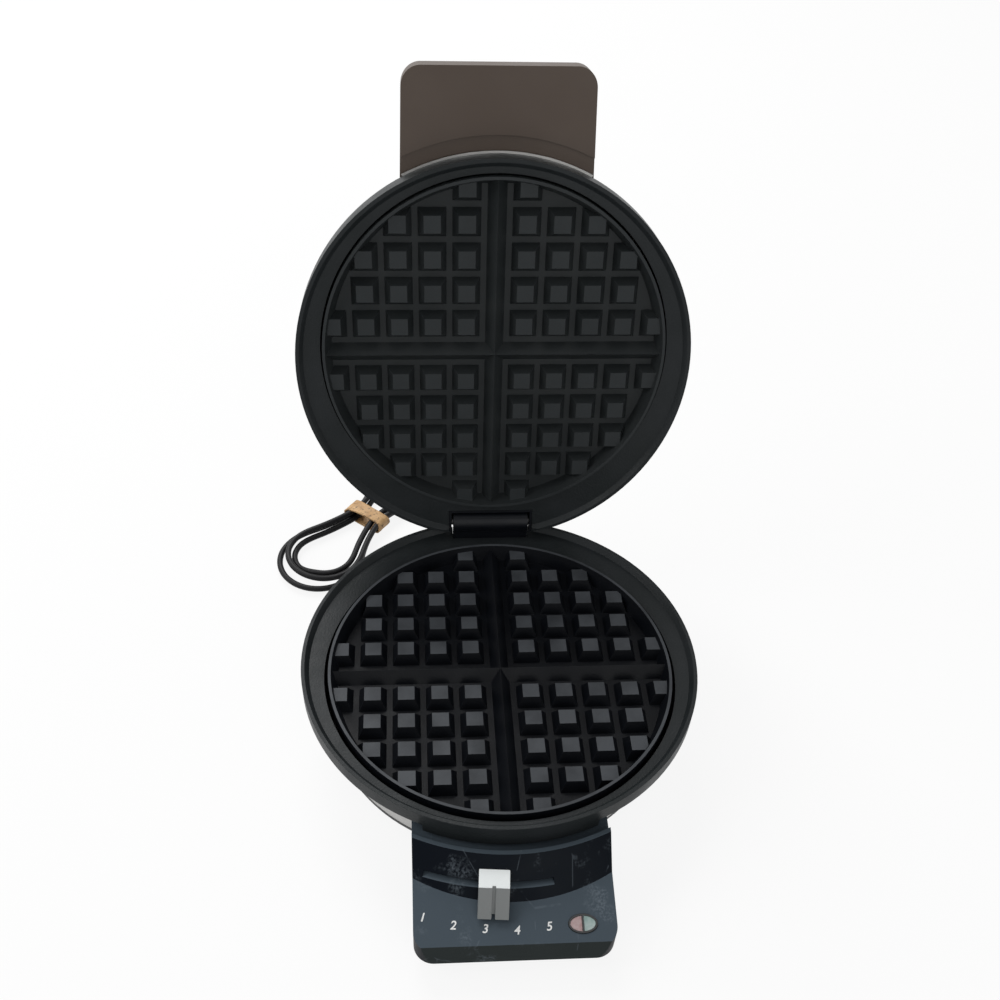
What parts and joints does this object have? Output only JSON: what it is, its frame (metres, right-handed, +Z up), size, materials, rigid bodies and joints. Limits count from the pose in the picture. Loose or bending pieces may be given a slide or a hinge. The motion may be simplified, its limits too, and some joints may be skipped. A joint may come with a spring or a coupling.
{
  "type": "round waffle maker",
  "caption": "Round countertop waffle maker with a hinged lid, square-grid plates, a sliding browning control and a tied-up mains lead.",
  "frame": {"origin": "centre of the round base, on the worktop its feet stand on", "axes": "+Z up, -Y towards the user, +Y towards the hinge, +X to the user's right"},
  "size_m": [0.2201, 0.42, 0.27],
  "materials": {
    "moulded_charcoal": "satin moulded, fine texture on the ring",
    "housing_plastic": "satin, lightly scuffed",
    "handle_plastic": "satin",
    "coated_casting": "dark satin release coating over cast aluminium",
    "brushed_stainless": "brushed",
    "silver_plastic": "silver satin paint",
    "bezel_plastic": "gloss",
    "red_clear": "clear tinted",
    "green_clear": "clear tinted",
    "neon_glass": "clear",
    "zinc_steel": "zinc plated",
    "ceramic": "unglazed cream",
    "element_sheath": "heat darkened",
    "pan_aluminium": "rolled",
    "foot_rubber": "matt",
    "cord_rubber": "matt",
    "plated_brass": "plated",
    "band_rubber": "tan, creased"
  },
  "bodies": {
    "base": {"base_collar": "moulded_charcoal", "hinge_block": "moulded_charcoal", "control_housing": "housing_plastic", "bottom_cover": "housing_plastic", "lower_grid_plate": "coated_casting", "base_shell": "brushed_stainless", "indicator_bezel": "bezel_plastic", "red_lens": "red_clear", "green_lens": "green_clear", "neon_lamps": "neon_glass", "thermostat_body": "ceramic", "terminal_block": "ceramic", "thermal_fuse": "zinc_steel", "lower_heating_element": "element_sheath", "lower_reflector": "pan_aluminium", "base_spacers": "zinc_steel", "base_screws": "zinc_steel", "hinge_block_screws": "zinc_steel", "rubber_feet": "foot_rubber", "strain_relief": "cord_rubber", "power_cord_lead": "cord_rubber", "power_cord_hank": "cord_rubber", "power_cord_tail": "cord_rubber", "plug_body": "cord_rubber", "plug_blades": "plated_brass", "cord_band": "band_rubber"},
    "control": {"thermostat_shaft": "zinc_steel", "control_lever": "zinc_steel", "slider_knob": "silver_plastic"},
    "lid": {"hinge_pin": "zinc_steel", "lid_hinge_bracket": "zinc_steel", "lid_hinge_frame": "moulded_charcoal", "lid_collar": "moulded_charcoal", "lid_shell": "brushed_stainless", "lid_spacers": "zinc_steel", "lid_screws": "zinc_steel", "upper_grid_plate": "coated_casting", "upper_heating_element": "element_sheath", "upper_reflector": "pan_aluminium", "handle_underside": "handle_plastic", "handle_top": "handle_plastic", "handle_screws": "zinc_steel"}
  },
  "joints": [
    {"name": "lid_hinge", "type": "hinge", "parent": "base", "child": "lid", "pos_m": [0, 0.0902, 0.0545], "axis": [1, 0, 0], "range_deg": [0, 103.9]},
    {"name": "browning_slider", "type": "hinge", "parent": "base", "child": "control", "pos_m": [0, 0, 0.029], "axis": [0, 0, 1], "range_deg": [-13.7, 10.8]}
  ]
}
